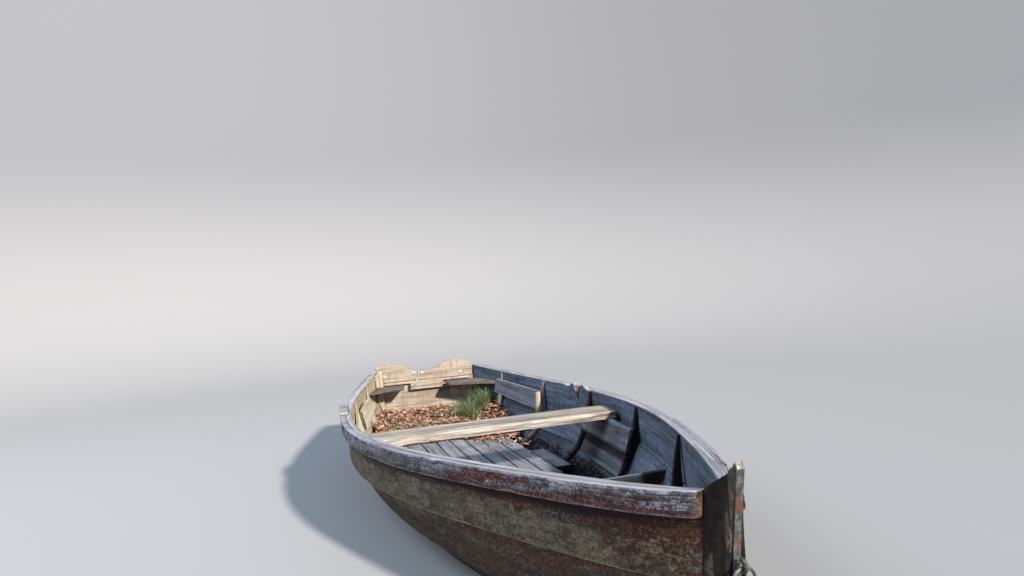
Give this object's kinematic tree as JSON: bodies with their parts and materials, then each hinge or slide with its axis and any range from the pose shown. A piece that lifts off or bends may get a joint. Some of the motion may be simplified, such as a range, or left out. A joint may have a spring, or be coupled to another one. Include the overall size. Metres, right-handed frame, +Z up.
{
  "type": "clinker wooden rowing boat",
  "caption": "Open flat-bottomed clinker rowing boat with a humped transom, projecting stem, one thwart and a hanging mooring ring.",
  "frame": {"origin": "centre of the boat's length and breadth, on the floor that the bottom runners stand on", "axes": "+X towards the bow, +Y to port, +Z up"},
  "size_m": [4.1684, 1.5268, 0.7199],
  "materials": {
    "strake_wood": "weathered planks, outside with old flaking olive beige paint and red primer patches, inside bare silver grey",
    "bottom_wood": "dark worn bottom planks",
    "rail_wood": "weathered grey wood with flaking red and grey paint",
    "stem_wood": "weathered wood with flaking dark red and black paint",
    "transom_wood": "sun bleached beige wood with vertical stains",
    "inner_wood": "bare silver grey weathered wood",
    "floorboard_wood": "bare grey sawn boards with dark seams",
    "thwart_wood": "rough sawn pale board, grey on top",
    "galvanised_steel": "dull galvanised steel with rust spots",
    "leaves": "dry brown leaf litter"
  },
  "bodies": {
    "hull": {"upper_strake_port": "strake_wood", "upper_strake_starboard": "strake_wood", "middle_strake_port": "strake_wood", "middle_strake_starboard": "strake_wood", "lower_strake_port": "strake_wood", "lower_strake_starboard": "strake_wood", "bottom_planks": "bottom_wood", "bottom_runners": "bottom_wood", "gunwale_rail_port": "rail_wood", "gunwale_rail_starboard": "rail_wood", "rowlock_block_starboard": "rail_wood", "stem_post": "stem_wood", "transom_boards": "transom_wood", "transom_top_board": "transom_wood", "upper_riser_port": "inner_wood", "upper_riser_starboard": "inner_wood", "lower_riser_port": "inner_wood", "lower_riser_starboard": "inner_wood", "aft_riser_port": "inner_wood", "aft_riser_starboard": "inner_wood", "bow_cross_board": "inner_wood", "stern_bench_board_port": "inner_wood", "stern_bench_board_starboard": "inner_wood", "stern_centre_block": "inner_wood", "transom_ledge": "inner_wood", "quarter_post_port": "inner_wood", "quarter_post_starboard": "inner_wood", "frame_1_port": "inner_wood", "frame_1_starboard": "inner_wood", "frame_2_port": "inner_wood", "frame_2_starboard": "inner_wood", "frame_3_port": "inner_wood", "frame_3_starboard": "inner_wood", "frame_4_port": "inner_wood", "frame_4_starboard": "inner_wood", "frame_5_port": "inner_wood", "frame_5_starboard": "inner_wood", "floor_timbers": "inner_wood", "floorboards": "floorboard_wood", "middle_thwart": "thwart_wood", "stem_band": "galvanised_steel", "mooring_eye": "galvanised_steel", "leaf_litter": "leaves"},
    "ring": {"mooring_ring": "galvanised_steel"}
  },
  "joints": [
    {"name": "mooring_ring_swing", "type": "hinge", "parent": "hull", "child": "ring", "pos_m": [2.06575, 0, 0.465], "axis": [0, -1, 0], "range_deg": [-5, 150]}
  ]
}
